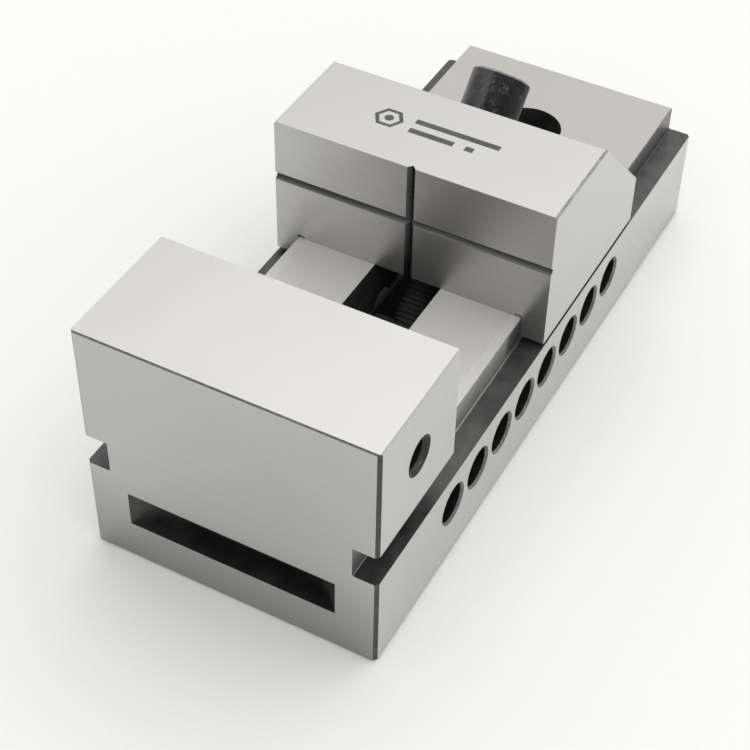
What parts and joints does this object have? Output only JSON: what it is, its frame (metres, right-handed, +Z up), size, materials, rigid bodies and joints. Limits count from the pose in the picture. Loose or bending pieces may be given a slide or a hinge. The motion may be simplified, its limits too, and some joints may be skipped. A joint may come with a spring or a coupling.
{
  "type": "machine vise",
  "caption": "Ground steel precision machine vise: a sliding jaw drawn down onto its bed by an inclined socket screw and a cross nut that seats in notches under the bed.",
  "frame": {"origin": "centre of the underside, on the surface the vise stands on", "axes": "+X across the vise to its right side, seen from the fixed jaw's end; +Y along the bed from the fixed jaw to the rear end; +Z up"},
  "size_m": [0.1, 0.245, 0.0911],
  "materials": {
    "ground_steel": "hardened tool steel, fine ground outside, dark and unground in the recesses",
    "ground_steel_jaw": "hardened tool steel, fine ground all over",
    "black_oxide_steel": "black oxide, satin",
    "spring_steel": "phosphated spring steel",
    "nut_steel": "hardened steel, dark from heat treatment"
  },
  "bodies": {
    "body": {"vise_body": "ground_steel"},
    "jaw": {"moving_jaw": "ground_steel_jaw", "conical_washer": "black_oxide_steel", "spherical_washer": "black_oxide_steel", "return_spring": "spring_steel"},
    "screw": {"clamp_screw": "black_oxide_steel", "retaining_ring": "spring_steel", "spring_collar": "spring_steel"},
    "nut": {"cross_nut": "nut_steel"}
  },
  "joints": [
    {"name": "jaw_slide", "type": "slide", "parent": "body", "child": "jaw", "axis": [0, 1, 0], "range_m": [-0.066, 0.059]},
    {"name": "screw_turn", "type": "hinge", "parent": "jaw", "child": "screw", "pos_m": [0, -0.00378, 0.0228], "axis": [0, 0.7071, 0.7071], "range_deg": [-2160, 0]},
    {"name": "nut_travel", "type": "slide", "parent": "jaw", "child": "nut", "axis": [0, 0.7071, 0.7071], "range_m": [0, 0.0105]}
  ],
  "couplings": [
    {"joint": "nut_travel", "follows": "screw_turn", "m_per_rad": -0.0002785}
  ]
}
